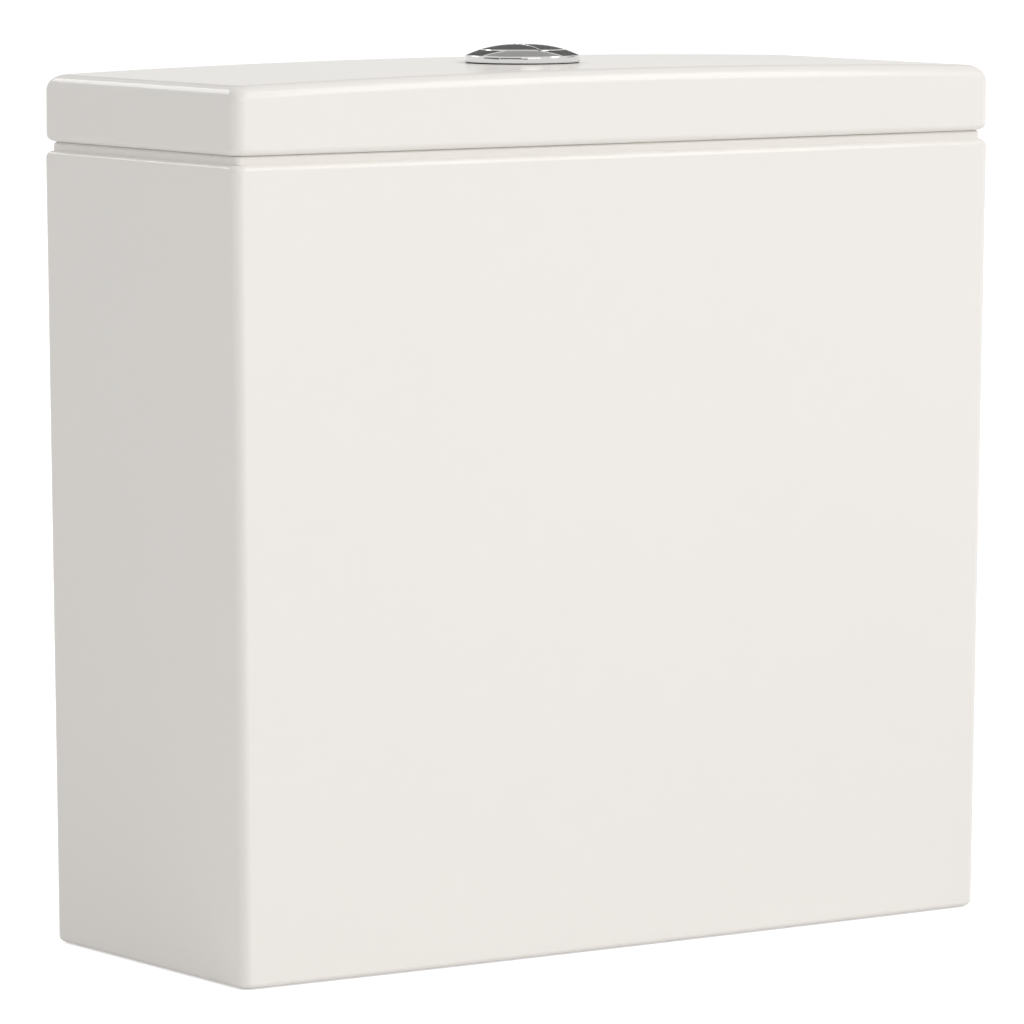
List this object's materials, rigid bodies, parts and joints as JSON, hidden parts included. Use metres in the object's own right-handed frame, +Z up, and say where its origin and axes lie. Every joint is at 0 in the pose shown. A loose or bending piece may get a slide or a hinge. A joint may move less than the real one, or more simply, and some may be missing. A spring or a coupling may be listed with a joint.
{
  "type": "toilet cistern",
  "caption": "Close-coupled ceramic toilet cistern with a lift-off crowned lid, a domed push button, a flush valve with rocker lift and a bottom-entry float fill valve.",
  "frame": {"origin": "centre of the outside box at the rim of the foot, which stands on Z = 0", "axes": "+X to the right seen from the front, +Y to the wall behind, +Z up"},
  "size_m": [0.368, 0.146, 0.3608],
  "materials": {
    "ceramic": "white vitreous china with a clear gloss glaze",
    "chrome": "bright chrome plating",
    "white_plastic": "moulded white plastic, satin gloss",
    "grey_plastic": "moulded grey plastic, matt",
    "blue_plastic": "moulded pale blue plastic, matt",
    "rubber": "black rubber, matt",
    "steel": "bare stainless steel",
    "brass": "bare brass"
  },
  "bodies": {
    "tank": {"tank": "ceramic", "valve_base": "white_plastic", "seat_washer": "rubber", "back_nut": "white_plastic", "coupling_washer": "rubber", "valve_tower": "blue_plastic", "tower_bridge": "blue_plastic", "rocker_pins": "steel", "inlet_shank": "white_plastic", "inlet_washer": "rubber", "inlet_nut": "white_plastic", "riser_sleeve": "grey_plastic", "lock_ring": "blue_plastic", "valve_head": "white_plastic", "diaphragm": "rubber", "valve_bonnet": "blue_plastic", "lever_pin": "brass", "coupling_bolts": "steel", "bolt_seals": "rubber", "bolt_top_washers": "steel", "bolt_low_washers": "steel", "bolt_nuts": "steel"},
    "lid": {"lid": "ceramic", "button_gasket": "rubber", "button_bezel": "chrome", "button_housing": "grey_plastic", "clamp_nut": "grey_plastic", "full_spring": "steel", "half_spring": "steel"},
    "full_button": {"full_button": "chrome", "full_rod": "white_plastic", "full_stop_nut": "grey_plastic"},
    "half_button": {"half_button": "chrome", "half_rod": "white_plastic", "half_stop_nut": "grey_plastic"},
    "full_rocker": {"full_rocker": "white_plastic"},
    "half_rocker": {"half_rocker": "white_plastic"},
    "flush_valve": {"overflow_tube": "white_plastic", "lift_yoke": "grey_plastic", "flush_seal": "rubber", "seal_clamp": "grey_plastic"},
    "half_lift": {"half_lift_bar": "grey_plastic", "half_float": "white_plastic"},
    "float": {"float_cup": "blue_plastic", "float_rod": "brass"},
    "float_lever": {"float_lever": "white_plastic"}
  },
  "joints": [
    {"name": "lid_lift", "type": "slide", "parent": "tank", "child": "lid", "axis": [0, 0, 1], "range_m": [0, 0.16]},
    {"name": "full_flush_press", "type": "slide", "parent": "lid", "child": "full_button", "axis": [0, 0, -1], "range_m": [0, 0.006], "stiffness_N_per_m": 500, "springref_m": -0.004, "deforming": ["full_spring"]},
    {"name": "half_flush_press", "type": "slide", "parent": "lid", "child": "half_button", "axis": [0, 0, -1], "range_m": [0, 0.006], "stiffness_N_per_m": 500, "springref_m": -0.004, "deforming": ["half_spring"]},
    {"name": "full_rocker_tilt", "type": "hinge", "parent": "tank", "child": "full_rocker", "pos_m": [0.0065, 0.01403, 0.239], "axis": [1, 0, 0], "range_deg": [0, 28]},
    {"name": "half_rocker_tilt", "type": "hinge", "parent": "tank", "child": "half_rocker", "pos_m": [-0.0102, -0.01003, 0.239], "axis": [-1, 0, 0], "range_deg": [0, 28]},
    {"name": "valve_lift", "type": "slide", "parent": "tank", "child": "flush_valve", "axis": [0, 0, 1], "range_m": [0, 0.0075]},
    {"name": "half_lift_slide", "type": "slide", "parent": "tank", "child": "half_lift", "axis": [0, 0, 1], "range_m": [0, 0.0075]},
    {"name": "float_rise", "type": "slide", "parent": "tank", "child": "float", "axis": [0, 0, 1], "range_m": [0, 0.014]},
    {"name": "float_lever_tilt", "type": "hinge", "parent": "tank", "child": "float_lever", "pos_m": [-0.111, 0.005, 0.26893], "axis": [0, -1, 0], "range_deg": [0, 30.06]}
  ],
  "couplings": [
    {"joint": "full_rocker_tilt", "follows": "full_flush_press", "rad_per_m": 81.448},
    {"joint": "valve_lift", "follows": "full_flush_press", "ratio": 1.2499},
    {"joint": "half_rocker_tilt", "follows": "half_flush_press", "rad_per_m": 81.448},
    {"joint": "half_lift_slide", "follows": "half_flush_press", "ratio": 1.2499},
    {"joint": "float_lever_tilt", "follows": "float_rise", "rad_per_m": 37.465}
  ]
}
